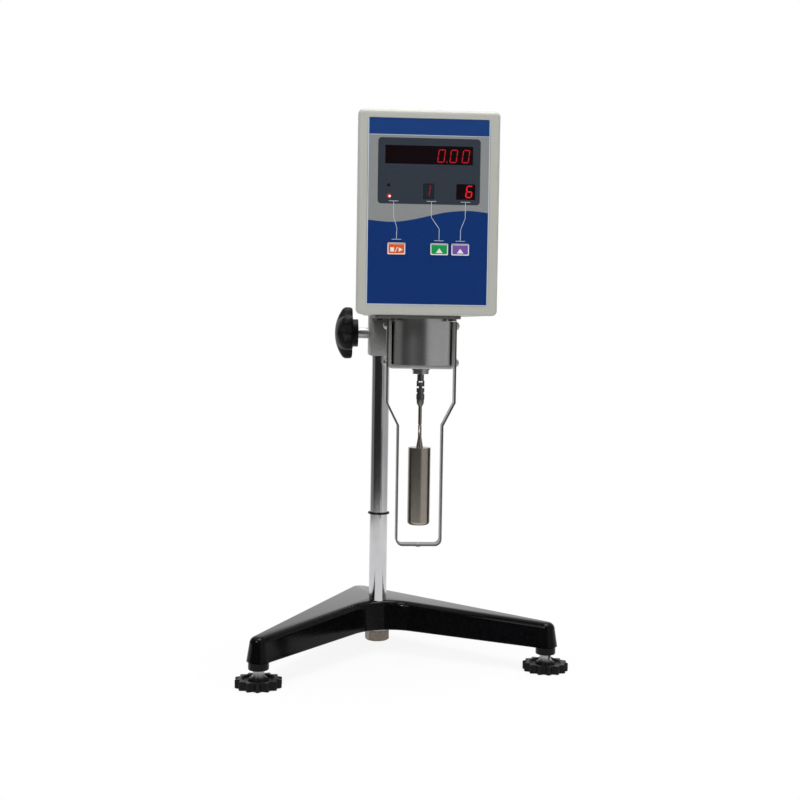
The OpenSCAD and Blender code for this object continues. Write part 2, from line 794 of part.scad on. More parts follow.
module guard() {
    t = strip_t;
    x1 = guard_top_x;
    x2 = guard_low_x;
    outline = concat(
        [[-x1 + t, ear_top_z], [-x1, ear_top_z], [-x1, 231.5], [-x2, 212]],
        arc(-x2 + 5.7, guard_z + 5.7, 5.7, 180, 270, 8),
        arc(x2 - 5.7, guard_z + 5.7, 5.7, 270, 360, 8),
        [[x2, 212], [x1, 231.5], [x1, ear_top_z], [x1 - t, ear_top_z]],
        [[x1 - t, 231.9], [x2 - t, 212.4]],
        arc(x2 - 5.7, guard_z + 5.7, 5.7 - t, 360, 270, 8),
        arc(-x2 + 5.7, guard_z + 5.7, 5.7 - t, 270, 180, 8),
        [[-x2 + t, 212.4], [-x1 + t, 231.9]]
    );
    color([0.7, 0.7, 0.72]) at_spindle() difference() {
        upright(-strip_w / 2, strip_w) polygon(outline);
        for (z = screw_z) translate([-40, 0, z]) along_x() cylinder(r = 2, h = 80);
        rod(1.5, guard_z - 1, guard_z + t + 1);
    }
}
module dome(r, h) {
    rr = (r * r + h * h) / (2 * h);
    intersection() {
        translate([0, 0, h - rr]) sphere(rr);
        cylinder(r = r, h = h + 1);
    }
}
module guard_screws() {
    color([0.7, 0.7, 0.7]) at_spindle() {
        for (z = screw_z, side = [0, 180]) translate([0, 0, z]) rotate([0, 0, side]) along_x() {
            translate([0, 0, guard_top_x]) dome(3.75, 2.9);
            rod(2, ear_in_x, guard_top_x);
        }
        translate([0, 0, guard_z]) mirror([0, 0, 1]) dome(3.7, 1.7);
        rod(1.5, guard_z, guard_z + strip_t);
    }
}
module photo_sensors() {
    color([0.1, 0.1, 0.1]) at_spindle() for (z = [spindle_disc_z + 0.5, drive_disc_z + 0.5])
        difference() {
            intersection() {
                translate([-3, 12.5, z - 3.5]) cube([6, can_r - 12.5, 7]);
                rod(can_r - 2, z - 4, z + 4);
            }
            translate([-4, 12, z - 1.2]) cube([8, 5, 2.4]);
            rod(12, z - 6, z + 6);
        }
}
module gear_deck() {
    floor_z = head_z + cover_wall;
    low = [-30, -24];
    size = [74, 60];
    post_in = 4;
    color([0.6, 0.6, 0.62]) at_spindle() {
        difference() {
            translate([low[0], low[1], floor_z]) cube([size[0], size[1], deck_t]);
            rod(deck_tube_r, head_z, head_z + 10);
            for (p = cover_screw_at) translate([p[0], p[1], 0]) rod(2, head_z, head_z + 9);
        }
        tube(deck_tube_r, sleeve_r + fit, head_z - 2.4, head_z + 12);
        difference() {
            translate([low[0], low[1], deck_z]) cube([size[0], size[1], deck_t]);
            rod(6, deck_z - 1, deck_z + deck_t + 1);
            translate([motor_x, 0, 0]) rod(motor_spigot_r, deck_z - 1, deck_z + deck_t + 1);
        }
        for (x = [low[0] + post_in, low[0] + size[0] - post_in])
            for (y = [low[1] + post_in, low[1] + size[1] - post_in])
                translate([x, y, 0]) rod(3, floor_z + deck_t, deck_z);
        tube(6, sleeve_r + fit, deck_z, deck_z + deck_t + 2);
    }
}
module motor() {
    color([0.65, 0.65, 0.66]) at_spindle() translate([motor_x, 0, 0]) difference() {
        union() {
            rod(16, deck_z + deck_t, deck_z + deck_t + 26);
            rod(motor_spigot_r, deck_z, deck_z + deck_t);
        }
        rod(shaft_thin_r + fit, deck_z - 1, deck_z + deck_t + 12);
    }
}
module power_board() {
    depth = 34;
    z = power_board_z;
    half = power_board_half;
    color([0.12, 0.35, 0.2]) at_spindle() translate([0, 30, 0]) {
        translate([-half, 0, z]) cube([2 * half, depth, board_t]);
        translate([-30, 4, z + 1]) cube([34, 26, 24]);
        translate([18, 16, 0]) rod(8, z + 1, z + 22);
        for (x = [4 - half, half - 4]) translate([x, depth / 2, 0])
            rod(2.5, head_z + cover_wall, z);
    }
}

// Drive and measuring train
module motor_pinion() {
    color([0.75, 0.62, 0.3]) at_spindle() translate([motor_x, 0, 0]) {
        translate([0, 0, gear_z - 0.5]) linear_extrude(gear_h + 1)
            polygon(gear_points(gear_module, motor_teeth, gear_tip, gear_root, gear_slack));
        rod(shaft_thin_r, gear_z + gear_h, deck_z + deck_t + 10);
    }
}
module drive_gear() {
    color([0.75, 0.62, 0.3]) at_spindle() {
        difference() {
            translate([0, 0, gear_z]) linear_extrude(gear_h)
                rotate([0, 0, 180 / drive_teeth])
                    polygon(gear_points(gear_module, drive_teeth, gear_tip, gear_root, gear_slack));
            rod(sleeve_r - 0.5, gear_z - 1, gear_z + gear_h + 1);
        }
        tube(sleeve_r, shaft_thin_r + fit, drive_disc_z, deck_z + deck_t + 4);
    }
}
module slots(z0, z1, count) {
    for (i = [0:count - 1]) rotate([0, 0, i * 360 / count])
        translate([12.2, -0.9, z0]) cube([2.2, 1.8, z1 - z0]);
}
module drive_disc() {
    color([0.2, 0.2, 0.22]) at_spindle() {
        difference() {
            rod(disc_r, drive_disc_z, drive_disc_z + 1);
            rod(sleeve_r, drive_disc_z - 1, drive_disc_z + 3);
            slots(drive_disc_z - 1, drive_disc_z + 2, 12);
        }
        tube(5, sleeve_r, drive_disc_z, drive_disc_z + 3);
        translate([spring_out + 0.9, 0, 0]) rod(0.6, spring_z, drive_disc_z + 0.5);
    }
}
function spiral(shift) = [
    for (i = [0:spring_steps])
        let (f = i / spring_steps, r = spring_in + (spring_out - spring_in) * f + shift)
        let (a = 360 * spring_turns * f)
        [r * cos(a), r * sin(a)]
];
function reversed(list) = [for (i = [len(list) - 1:-1:0]) list[i]];
module hairspring() {
    color([0.3, 0.35, 0.5]) at_spindle() translate([0, 0, spring_z]) linear_extrude(2)
        polygon(concat(spiral(0), reversed(spiral(0.3))));
}
module yoke_arms(turn, low, high) {
    intersection() {
        rod(yoke_out, low, high);
        rotate([0, 0, turn]) for (side = [0, 180]) rotate([0, 0, side])
            translate([yoke_in, -yoke_half, low]) cube([2, 2 * yoke_half, high - low]);
    }
}
module spindle_shaft() {
    color([0.72, 0.72, 0.74]) at_spindle() difference() {
        union() {
            rod(shaft_thin_r, 251, deck_z + deck_t + 8);
            rod(2.85, joint_z + 2.7, boss_z - 0.4);
            yoke_arms(0, joint_z - 1.7, joint_z + 3);
        }
        translate([-4, 0, joint_z]) along_x() cylinder(r = cross_pin_r + fit, h = 8);
    }
}
module spindle_disc() {
    color([0.2, 0.2, 0.22]) at_spindle() difference() {
        union() {
            rod(disc_r, spindle_disc_z, spindle_disc_z + 1);
            rod(spring_in - fit, spindle_disc_z - 1.5, spring_z + 2);
        }
        rod(shaft_thin_r, spindle_disc_z - 2, spring_z + 3);
        slots(spindle_disc_z - 1, spindle_disc_z + 2, 12);
    }
}
module joint_cross() {
    color([0.5, 0.5, 0.52]) at_spindle() translate([0, 0, joint_z]) {
        translate([-1.6, -1.6, -1.2]) cube([3.2, 3.2, 2.4]);
        translate([-cross_half, 0, 0]) along_x() cylinder(r = cross_pin_r, h = 2 * cross_half);
        translate([0, cross_half, 0]) rotate([90, 0, 0]) cylinder(r = cross_pin_r, h = 2 * cross_half);
    }
}
module lower_yoke() {
    color([0.68, 0.68, 0.7]) at_spindle() difference() {
        union() {
            rod(yoke_out, collar_z + 5.9, joint_z - 3.1);
            rod(2.7, collar_z + 4, collar_z + 6.4);
            yoke_arms(90, joint_z - 3.4, joint_z + 1.7);
            rod(3.45, collar_z, collar_z + 4.6);
            rod(3.1, collar_z - 3, collar_z);
            translate([0, 0, collar_z - 5.6]) cylinder(r1 = 1.9, r2 = 3.1, h = 2.6);
        }
        translate([0, 4, joint_z]) rotate([90, 0, 0]) cylinder(r = cross_pin_r + fit, h = 8);
        rod(rotor_rod_r, collar_z - 6, collar_z + 5);
    }
}
module rotor() {
    top = rotor_z + rotor_h;
    color([0.6, 0.58, 0.55]) at_spindle() {
        rotate_extrude() polygon(concat(
            [[0, rotor_z + 1], [0, rotor_z]],
            arc(rotor_r - 2.5, rotor_z + 2.5, 2.5, 270, 360, 6),
            [[rotor_r, top], [3, top], [rotor_rod_r, top + 8.6], [rotor_rod_r, top + 18.4]],
            [[1.2, top + 18.6], [1.2, top + 19.4], [rotor_rod_r, top + 19.6]],
            [[rotor_rod_r, collar_z + 4.9], [0, collar_z + 4.9], [0, top - 1]],
            [[rotor_r - 0.9, top - 1], [rotor_r - 0.9, rotor_z + 2.5], [rotor_r - 2.5, rotor_z + 1]]
        ));
    }
}

base_casting();
foot_bushes();
column();
rack();
column_washer();
column_nut();
column_cap();
rear_foot();
stop_ring();
left_foot_pad();
left_foot_knob();
left_foot_stud();
right_foot_pad();
right_foot_knob();
right_foot_stud();
carriage_block();
guide_liners();
pinion_bushes();
tension_screw();
head_plate();
plate_screws();
lift_knob();
pinion_shaft();
pinion();
front_bezel();
rear_cover();
overlay_panel();
display_window();
display_modules();
status_leds();
circuit_board();
key_switches();
cover_screws();
stop_key();
rotor_key();
speed_key();
power_jack();
switch_body();
power_rocker();
level_housing();
level_vial();
sensor_can();
guard_bracket();
bearing_boss();
guard();
guard_screws();
photo_sensors();
gear_deck();
motor();
power_board();
motor_pinion();
drive_gear();
drive_disc();
hairspring();
spindle_shaft();
spindle_disc();
joint_cross();
lower_yoke();
rotor();
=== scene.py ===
import json
import math
import bmesh
import bpy
from mathutils import Matrix, Vector


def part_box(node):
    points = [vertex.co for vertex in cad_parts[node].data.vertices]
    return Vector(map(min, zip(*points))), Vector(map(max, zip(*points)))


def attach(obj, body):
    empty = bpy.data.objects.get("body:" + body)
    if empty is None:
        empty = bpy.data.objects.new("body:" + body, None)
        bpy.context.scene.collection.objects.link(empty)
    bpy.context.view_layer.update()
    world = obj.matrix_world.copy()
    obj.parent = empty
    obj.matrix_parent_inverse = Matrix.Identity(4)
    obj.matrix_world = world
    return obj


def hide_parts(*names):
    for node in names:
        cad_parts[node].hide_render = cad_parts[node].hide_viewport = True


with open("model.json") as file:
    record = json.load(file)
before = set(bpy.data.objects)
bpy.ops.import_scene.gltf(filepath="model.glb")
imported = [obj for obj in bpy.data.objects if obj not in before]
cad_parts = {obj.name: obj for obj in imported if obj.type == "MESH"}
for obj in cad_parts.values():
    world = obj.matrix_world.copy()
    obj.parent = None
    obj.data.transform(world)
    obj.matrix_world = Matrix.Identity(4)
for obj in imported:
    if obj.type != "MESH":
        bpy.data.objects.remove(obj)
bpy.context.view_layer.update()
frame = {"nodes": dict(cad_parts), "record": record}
nodes = frame["nodes"]
slotOf = {part["node"]: part["material_slot"] for part in frame["record"]["subparts"]}
bodyOf = {node: body for body, members in frame["record"]["behaviour"]["bodies"].items() for node in members}
mm = 0.001  # the dictionaries of pieces give lengths in millimetres and angles in degrees
mergeDistance = 0.000002
print("CAD model loaded:", len(nodes), "nodes")


def middleOf(node):
    low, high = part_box(node)
    return (low + high) / 2


spindleAt = Vector((middleOf("rotor").x, middleOf("rotor").y, 0))

# Finishes, one per material slot of the record, and four more whose names end in face
finishes = {
    "cast_black": dict(
        color=(0.002, 0.002, 0.0025), shade=(0.0035, 0.0035, 0.004),
        rough=(0.08, 0.11), size=260, bump=0.03, spec=0.12),
    "black_steel": dict(
        color=(0.2, 0.17, 0.14), shade=(0.14, 0.12, 0.1),
        rough=(0.3, 0.45), metal=1, size=500, bump=0.08),
    "dark_plate": dict(
        color=(0.07, 0.07, 0.07), shade=(0.1, 0.1, 0.1),
        rough=(0.4, 0.55), size=600, bump=0.05),
    "dark_disc": dict(
        color=(0.02, 0.02, 0.022), shade=(0.04, 0.04, 0.044),
        rough=(0.5, 0.7), size=500, bump=0.05),
    "chrome": dict(
        color=(0.58, 0.58, 0.59), shade=(0.54, 0.54, 0.55),
        rough=(0.1, 0.15), metal=1, size=60, bump=0.01),
    "steel": dict(
        color=(0.42, 0.42, 0.42), shade=(0.34, 0.34, 0.335),
        rough=(0.24, 0.4), metal=1, size=160, stretch=(1, 1, 8), bump=0.05),
    "rotor_steel": dict(
        color=(0.355, 0.32, 0.28), shade=(0.33, 0.3, 0.262),
        rough=(0.25, 0.262), metal=1, size=90, stretch=(1, 1, 3), bump=0.004),
    "spring_steel": dict(
        color=(0.16, 0.2, 0.36), shade=(0.22, 0.24, 0.34),
        rough=(0.25, 0.4), metal=1, size=300, bump=0.03),
    "aluminium": dict(
        color=(0.5, 0.5, 0.5), shade=(0.45, 0.45, 0.45),
        rough=(0.28, 0.34), metal=1, size=100, stretch=(1, 1, 12), bump=0.015),
    "brass": dict(
        color=(0.7, 0.5, 0.2), shade=(0.58, 0.4, 0.15),
        rough=(0.25, 0.4), metal=1, size=260, bump=0.04),
    "rubber": dict(
        color=(0.02, 0.02, 0.02), shade=(0.035, 0.035, 0.035),
        rough=(0.6, 0.8), size=700, bump=0.12),
    "black_plastic": dict(
        color=(0.004, 0.004, 0.005), shade=(0.008, 0.008, 0.009),
        rough=(0.34, 0.46), size=700, bump=0.08, spec=0.12),
    "white_plastic": dict(
        color=(0.5, 0.5, 0.48), shade=(0.46, 0.46, 0.44),
        rough=(0.4, 0.5), size=400, bump=0.04),
    "case_plastic": dict(
        color=(0.435, 0.435, 0.4), shade=(0.405, 0.405, 0.37),
        rough=(0.4, 0.5), size=1400, bump=0.08, spec=0.4),
    "overlay_blue": dict(
        color=(0.002, 0.025, 0.135), shade=(0.003, 0.03, 0.155),
        rough=(0.3, 0.38), size=900, bump=0.03, spec=0.2),
    "window_dark": dict(
        color=(0.027, 0.035, 0.047), shade=(0.031, 0.04, 0.055),
        rough=(0.25, 0.33), size=900, bump=0.02, spec=0.3),
    "led_module": dict(
        color=(0.006, 0.005, 0.005), shade=(0.012, 0.01, 0.01),
        rough=(0.25, 0.35), size=500, bump=0.02),
    "led_red": dict(
        color=(0.6, 0.02, 0.02), shade=(0.5, 0.015, 0.015),
        rough=(0.15, 0.25), size=500, bump=0.01),
    "board_green": dict(
        color=(0.02, 0.14, 0.06), shade=(0.015, 0.1, 0.045),
        rough=(0.35, 0.5), size=300, bump=0.03),
    "key_orange": dict(
        color=(0.66, 0.1, 0.012), shade=(0.6, 0.085, 0.01),
        rough=(0.3, 0.4), size=900, bump=0.03, spec=0.2),
    "key_green": dict(
        color=(0.008, 0.29, 0.07), shade=(0.007, 0.25, 0.06),
        rough=(0.3, 0.4), size=900, bump=0.03, spec=0.2),
    "key_purple": dict(
        color=(0.17, 0.08, 0.36), shade=(0.15, 0.07, 0.31),
        rough=(0.3, 0.4), size=900, bump=0.03, spec=0.2),
    "vial_glass": dict(
        color=(0.26, 0.46, 0.05), shade=(0.23, 0.42, 0.045),
        rough=(0.05, 0.1), size=200, bump=0.01),
    "block_face": dict(
        color=(0.42, 0.42, 0.41), shade=(0.36, 0.36, 0.35),
        rough=(0.42, 0.55), metal=1, size=300, bump=0.08),
    "guard_face": dict(
        color=(0.26, 0.26, 0.255), shade=(0.2, 0.2, 0.195),
        rough=(0.3, 0.42), metal=1, size=300, bump=0.05),
    "joint_face": dict(
        color=(0.17, 0.165, 0.16), shade=(0.12, 0.118, 0.115),
        rough=(0.3, 0.42), metal=1, size=500, bump=0.06),
    "bracket_face": dict(
        color=(0.62, 0.62, 0.61), shade=(0.54, 0.54, 0.53),
        rough=(0.4, 0.5), metal=1, size=300, stretch=(1, 1, 6), bump=0.05),
}
grainLook = dict(detail=4, tintFrom=0.3, tintTo=0.7, finer=3, reliefDepth=0.0005)


def setInputs(tree, node, inputs):
    for key, value in inputs.items():
        if isinstance(value, bpy.types.NodeSocket):
            tree.links.new(value, node.inputs[key])
        else:
            node.inputs[key].default_value = value


def addNode(tree, kind, inputs=None, operation=None):
    node = tree.nodes.new("ShaderNode" + kind)
    if operation:
        node.operation = operation
    setInputs(tree, node, inputs or {})
    return node


def makeFinish(name, color, shade, rough, size, bump, metal=0, stretch=(1, 1, 1), spec=0.5, glow=0):
    material = bpy.data.materials.new(name)
    material.use_nodes = True
    tree = material.node_tree
    shader = tree.nodes["Principled BSDF"]
    place = addNode(tree, "TexCoord")
    mapping = addNode(tree, "Mapping", {"Vector": place.outputs["Object"], "Scale": stretch})
    at = mapping.outputs["Vector"]
    cloud = addNode(tree, "TexNoise", {"Vector": at, "Scale": size, "Detail": grainLook["detail"]})
    tint = addNode(tree, "ValToRGB", {"Fac": cloud.outputs["Fac"]})
    first, second = tint.color_ramp.elements
    first.position = grainLook["tintFrom"]
    second.position = grainLook["tintTo"]
    first.color = (*color, 1)
    second.color = (*shade, 1)
    polish = addNode(tree, "MapRange", {"Value": cloud.outputs["Fac"], "To Min": rough[0], "To Max": rough[1]})
    grain = addNode(tree, "TexNoise", {"Vector": at, "Scale": size * grainLook["finer"]})
    relief = addNode(
        tree, "Bump", {"Height": grain.outputs["Fac"], "Strength": bump, "Distance": grainLook["reliefDepth"]})
    setInputs(tree, shader, {
        "Base Color": tint.outputs["Color"], "Roughness": polish.outputs["Result"],
        "Normal": relief.outputs["Normal"], "Metallic": metal, "Specular IOR Level": spec,
    })
    if glow:
        setInputs(tree, shader, {"Emission Color": tint.outputs["Color"], "Emission Strength": glow})
    return material


materials = {name: makeFinish(name, **values) for name, values in finishes.items()}
for name, node in nodes.items():
    node.data.materials.clear()
    node.data.materials.append(materials[slotOf[name]])
print("finishes made")

# Angles between faces, below which they are merged and above which an edge is rounded or shaded sharp
edgeLook = dict(flatBelow=0.4, roundAbove=25, sharpAbove=32, cadSharpAbove=28, knobSharpAbove=40)


def addPiece(name, bm, body, slotName, material=None, replaced=(), sharpAngle=edgeLook["sharpAbove"]):
    mesh = bpy.data.meshes.new(name)
    bm.to_mesh(mesh)
    bm.free()
    mesh.shade_smooth()
    mesh.set_sharp_from_angle(angle=math.radians(sharpAngle))
    mesh.materials.append(material or materials[slotName])
    piece = bpy.data.objects.new(name, mesh)
    bpy.context.scene.collection.objects.link(piece)
    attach(piece, body)
    if replaced:
        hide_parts(*replaced)
    return piece


def cleanCopy(node):
    bm = bmesh.new()
    bm.from_mesh(nodes[node].data)
    bmesh.ops.remove_doubles(bm, verts=bm.verts, dist=mergeDistance)
    flat = math.radians(edgeLook["flatBelow"])
    bmesh.ops.dissolve_limit(bm, angle_limit=flat, verts=bm.verts, edges=bm.edges)
    return bm


def roundEdges(bm, width, segments, chosen=lambda co: True):
    least = math.radians(edgeLook["roundAbove"])
    edges = [
        e for e in bm.edges
        if len(e.link_faces) == 2 and e.calc_face_angle(0) > least and all(chosen(v.co) for v in e.verts)
    ]
    bmesh.ops.bevel(
        bm, geom=edges, offset=width * mm, offset_type="OFFSET", affect="EDGES",
        segments=segments, profile=0.5, material=-1, clamp_overlap=True,
    )


def pieceName(node):
    first, *rest = node.split("_")
    return first + "".join(word.capitalize() for word in rest)


def dressNode(node, width=0, segments=2, finish=None):
    bm = cleanCopy(node)
    if width:
        roundEdges(bm, width, segments)
    material = materials[finish or slotOf[node]]
    addPiece(
        pieceName(node), bm, bodyOf[node], slotOf[node], material,
        replaced=[node], sharpAngle=edgeLook["cadSharpAbove"])


# Metal and plastic pieces that keep the CAD shape, some with their edges broken
cadPieces = {
    "stop_ring": dict(finish="black_plastic"),
    "left_foot_stud": dict(),
    "right_foot_stud": dict(),
    "column": dict(),
    "column_cap": dict(width=0.6),
    "carriage_block": dict(width=0.4, finish="block_face"),
    "head_plate": dict(width=0.3),
    "pinion_shaft": dict(),
    "sensor_can": dict(),
    "guard_bracket": dict(width=0.3, finish="bracket_face"),
    "bearing_boss": dict(),
    "guard": dict(width=0.3, finish="guard_face"),
    "guard_screws": dict(),
    "spindle_shaft": dict(finish="joint_face"),
    "rotor": dict(),
}
for node, values in cadPieces.items():
    dressNode(node, **values)

columnNut = dict(turn=20)


def makeColumnNut():
    bm = cleanCopy("column_nut")
    turn = Matrix.Rotation(math.radians(columnNut["turn"]), 3, "Z")
    bmesh.ops.rotate(bm, verts=bm.verts, cent=middleOf("column_nut"), matrix=turn)
    addPiece("columnNut", bm, "base", "black_steel", replaced=["column_nut"])


makeColumnNut()
print("metal pieces dressed")

# Base casting, with the crotch rounder than in the CAD model so that it closes round the column
casting = dict(
    turn=11.5, reach=99.5, side=124.7, endRadius=10, inner=48, outer=36, crotch=36.5, tail=13,
    low=21, top=47.3, crown=0.0316, edge=5.8, edgeSteps=8, draft=2.3, chamfer=0.8, crownBack=14,
    bossRadius=8.6, bossLow=14.7, bossSunk=1.5, bossEdge=2, bossSteps=64, bushRadius=6.25,
)


def arcPoints(x, y, radius, start, end, steps=20):
    angles = (math.radians(start + (end - start) * k / steps) for k in range(steps + 1))
    return [(x + radius * math.cos(angle), y + radius * math.sin(angle)) for angle in angles]


def castingOutline(inset):
    c = casting
    inner, outer = math.radians(c["inner"]), math.radians(c["outer"])
    outerSide = c["side"] - c["reach"] * math.tan(outer) + c["endRadius"] / math.cos(outer)
    tailBack = outerSide / math.tan(outer) - c["tail"] / math.sin(outer)
    crotchAt = c["reach"] - c["side"] / math.tan(inner) + (c["endRadius"] + c["crotch"]) / math.sin(inner)
    legEnd = c["endRadius"] - inset
    # Round the tail, the end of the left leg, the crotch and the end of the right leg
    return (
        arcPoints(0, tailBack, c["tail"] - inset, c["outer"], 180 - c["outer"])
        + arcPoints(-c["side"], -c["reach"], legEnd, 180 - c["outer"], 360 - c["inner"])
        + arcPoints(0, -crotchAt, c["crotch"] + inset, 180 - c["inner"], c["inner"])
        + arcPoints(c["side"], -c["reach"], legEnd, 180 + c["inner"], 360 + c["outer"])
    )


def crownAt(x, y):
    return casting["top"] - casting["crown"] * math.hypot(x, y)


def makeCasting():
    c = casting
    column = middleOf("column_nut")
    toWorld = Matrix.Translation((column.x, column.y, 0)) @ Matrix.Rotation(math.radians(c["turn"]), 4, "Z")
    bm = bmesh.new()
    rings = []
    for inset, z in ((c["chamfer"], c["low"]), (0, c["low"] + c["chamfer"])):
        rings.append([bm.verts.new((x * mm, y * mm, z * mm)) for x, y in castingOutline(inset)])
    for k in range(c["edgeSteps"] + 1):
        angle = math.radians(90 * k / c["edgeSteps"])
        outline = castingOutline(c["draft"] + c["edge"] * (1 - math.cos(angle)))
        drop = c["edge"] * (1 - math.sin(angle))
        rings.append([bm.verts.new((x * mm, y * mm, (crownAt(x, y) - drop) * mm)) for x, y in outline])
    count = len(rings[0])
    for lower, upper in zip(rings, rings[1:]):
        for i in range(count):
            bm.faces.new((lower[i], lower[(i + 1) % count], upper[(i + 1) % count], upper[i]))
    bm.faces.new(reversed(rings[0]))
    hub = bm.verts.new((0, c["crownBack"] * mm, crownAt(0, c["crownBack"]) * mm))
    for i in range(count):
        bm.faces.new((rings[-1][i], rings[-1][(i + 1) % count], hub))
    bmesh.ops.recalc_face_normals(bm, faces=bm.faces)
    bmesh.ops.transform(bm, matrix=toWorld, verts=bm.verts)
    addPiece("baseCasting", bm, "base", "cast_black", replaced=["base_casting"])


makeCasting()
print("casting made")

# Case of the head
caseShape = dict(
    openingGap=2.6, widerLeft=1.0, widerRight=0.5, deeper=2.1, touch=0.05,
    frontRadius=3.6, frontSteps=7, frontDepth=0.1, corner=4.2, keyRadius=0.2, keySteps=3,
)


def widenOpening(bm):
    low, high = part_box("overlay_panel")
    near = caseShape["openingGap"] * mm
    for vert in bm.verts:
        co = vert.co
        inside = low.x - near < co.x < high.x + near and low.z - near < co.z < high.z + near
        if co.y > high.y + caseShape["touch"] * mm or not inside:
            continue
        if co.x < low.x + near:
            co.x -= caseShape["widerLeft"] * mm
        if co.x > high.x - near:
            co.x += caseShape["widerRight"] * mm
        if co.z < low.z + near:
            co.z -= caseShape["deeper"] * mm


def dressBezel():
    low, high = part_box("front_bezel")
    touch = caseShape["touch"] * mm
    bm = cleanCopy("front_bezel")
    widenOpening(bm)

    def onRim(co):
        atFront = co.y < low.y + caseShape["frontDepth"] * mm
        sideGap = min(co.x - low.x, high.x - co.x)
        endGap = min(co.z - low.z, high.z - co.z)
        inCorner = max(sideGap, endGap) < caseShape["corner"] * mm
        return atFront and (sideGap < touch or endGap < touch or inCorner)

    roundEdges(bm, caseShape["frontRadius"], caseShape["frontSteps"], onRim)
    addPiece("frontBezel", bm, "carriage", "case_plastic", replaced=["front_bezel"])


dressBezel()
dressNode("rear_cover")
for node in ("stop_key", "rotor_key", "speed_key"):
    dressNode(node, caseShape["keyRadius"], caseShape["keySteps"])
print("case dressed")

# Inks of the film, the display, the lamps and the marks on the keys
inkLook = dict(size=900, bump=0.02, spec=0.3)
inkShade = 0.92
inkColors = {
    "film_grey": dict(color=(0.238, 0.248, 0.248)),
    "film_band": dict(color=(0.006, 0.042, 0.185)),
    "film_line": dict(color=(0.5, 0.56, 0.64)),
    "led_window": dict(color=(0.006, 0.002, 0.003), rough=(0.2, 0.26)),
    "led_window_faint": dict(color=(0.016, 0.02, 0.027), rough=(0.2, 0.26)),
    "led_lit": dict(color=(0.32, 0.004, 0.012), glow=0.55),
    "led_bright": dict(color=(0.5, 0.006, 0.015), glow=0.7),
    "led_dim": dict(color=(0.2, 0.004, 0.012), glow=0.6),
    "lamp_off": dict(color=(0.008, 0.008, 0.014), rough=(0.15, 0.25)),
    "lamp_core": dict(color=(0.9, 0.6, 0.6), glow=1),
    "key_mark": dict(color=(0.75, 0.75, 0.72)),
    # This ink colours the light border of the keys and also the painted highlight along their top edges
    "key_rim": dict(color=(0.74, 0.72, 0.76)),
}


def inkFinish(name, color, glow=0, rough=(0.3, 0.38)):
    shade = tuple(channel * inkShade for channel in color)
    return makeFinish(name, color, shade, rough, glow=glow, **inkLook)


inks = {name: inkFinish(name, **values) for name, values in inkColors.items()}


def flatShape(name, outlines, front, finish, slotName, depth=0.02):
    bm = bmesh.new()
    for outline in outlines:
        corners = [bm.verts.new((spindleAt.x + x * mm, front, z * mm)) for x, z in outline]
        bm.faces.new(corners)
    bmesh.ops.remove_doubles(bm, verts=bm.verts, dist=mergeDistance / 2)
    grown = bmesh.ops.extrude_face_region(bm, geom=bm.faces[:])
    moved = [item for item in grown["geom"] if isinstance(item, bmesh.types.BMVert)]
    bmesh.ops.translate(bm, verts=moved, vec=(0, depth * mm, 0))
    bmesh.ops.recalc_face_normals(bm, faces=bm.faces)
    return addPiece(name, bm, "carriage", slotName, finish)


def rectangle(x0, z0, x1, z1):
    return [(x0, z0), (x1, z0), (x1, z1), (x0, z1)]


def strip(points, width, overlap=0.9):
    half = width / 2
    shapes = []
    for (x0, z0), (x1, z1) in zip(points, points[1:]):
        along = Vector((x1 - x0, z1 - z0)).normalized() * half * overlap
        side = Vector((-along.y, along.x)).normalized() * half
        shapes.append([
            (x0 - along.x + side.x, z0 - along.y + side.y), (x0 - along.x - side.x, z0 - along.y - side.y),
            (x1 + along.x - side.x, z1 + along.y - side.y), (x1 + along.x + side.x, z1 + along.y + side.y),
        ])
    return shapes


def roundedOutline(x0, z0, x1, z1, radius, steps=6):
    outline = []
    for x, z, start in ((x1, z1, 0), (x0, z1, 90), (x0, z0, 180), (x1, z0, 270)):
        inX = x - math.copysign(radius, x - (x0 + x1) / 2)
        inZ = z - math.copysign(radius, z - (z0 + z1) / 2)
        outline += arcPoints(inX, inZ, radius, start, start + 90, steps)
    return outline


def ringOf(outer, inner):
    count = len(outer)
    return [[outer[k], outer[(k + 1) % count], inner[(k + 1) % count], inner[k]] for k in range(count)]


def curveThrough(before, start, end, after, t):
    return tuple(
        0.5 * (2 * b + (c - a) * t + (2 * a - 5 * b + 4 * c - d) * t * t + (3 * b - a - 3 * c + d) * t ** 3)
        for a, b, c, d in zip(before, start, end, after)
    )


def smoothLine(points, steps=8):
    curve = []
    last = len(points) - 1
    for i in range(last):
        around = points[max(i - 1, 0)], points[i], points[i + 1], points[min(i + 2, last)]
        curve += [curveThrough(*around, k / steps) for k in range(steps)]
    return curve + [points[-1]]


# Printed film on the overlay, with x from the spindle and z from the bench
filmArt = dict(
    left=-48.8, right=48.3, bottom=311.7, top=458.7, bandBottom=446.0,
    corner=1.5, inside=(-47.2, 314.4, 47.2, 458), insideCorner=1,
    windowCorner=2.8, windowMargin=1, fieldCorner=0.02,
    wave=[
        (-48.8, 378.7), (-30.1, 377.3), (-15, 379), (1.9, 382.8), (14.1, 385.6), (31.7, 387.1), (48.3, 385.7),
    ],
    leaders=[
        [(-27.9, 393.8), (-27.6, 380.6), (-25, 372.8), (-25.3, 363.6)],
        [(2.2, 394), (2.3, 381.4), (8.7, 372.4), (8.7, 363)],
        [(29.3, 393.9), (29.3, 381.2), (25.8, 372), (25.7, 363)],
    ],
    barHalf=3.6, lineWidth=0.4, edgeWidth=0.8,
)
layers = dict(border=0.01, field=0.02, lines=0.04, windows=0.02, digits=0.04, marks=0.03)
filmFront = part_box("overlay_panel")[0].y
windowLow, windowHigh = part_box("display_window")


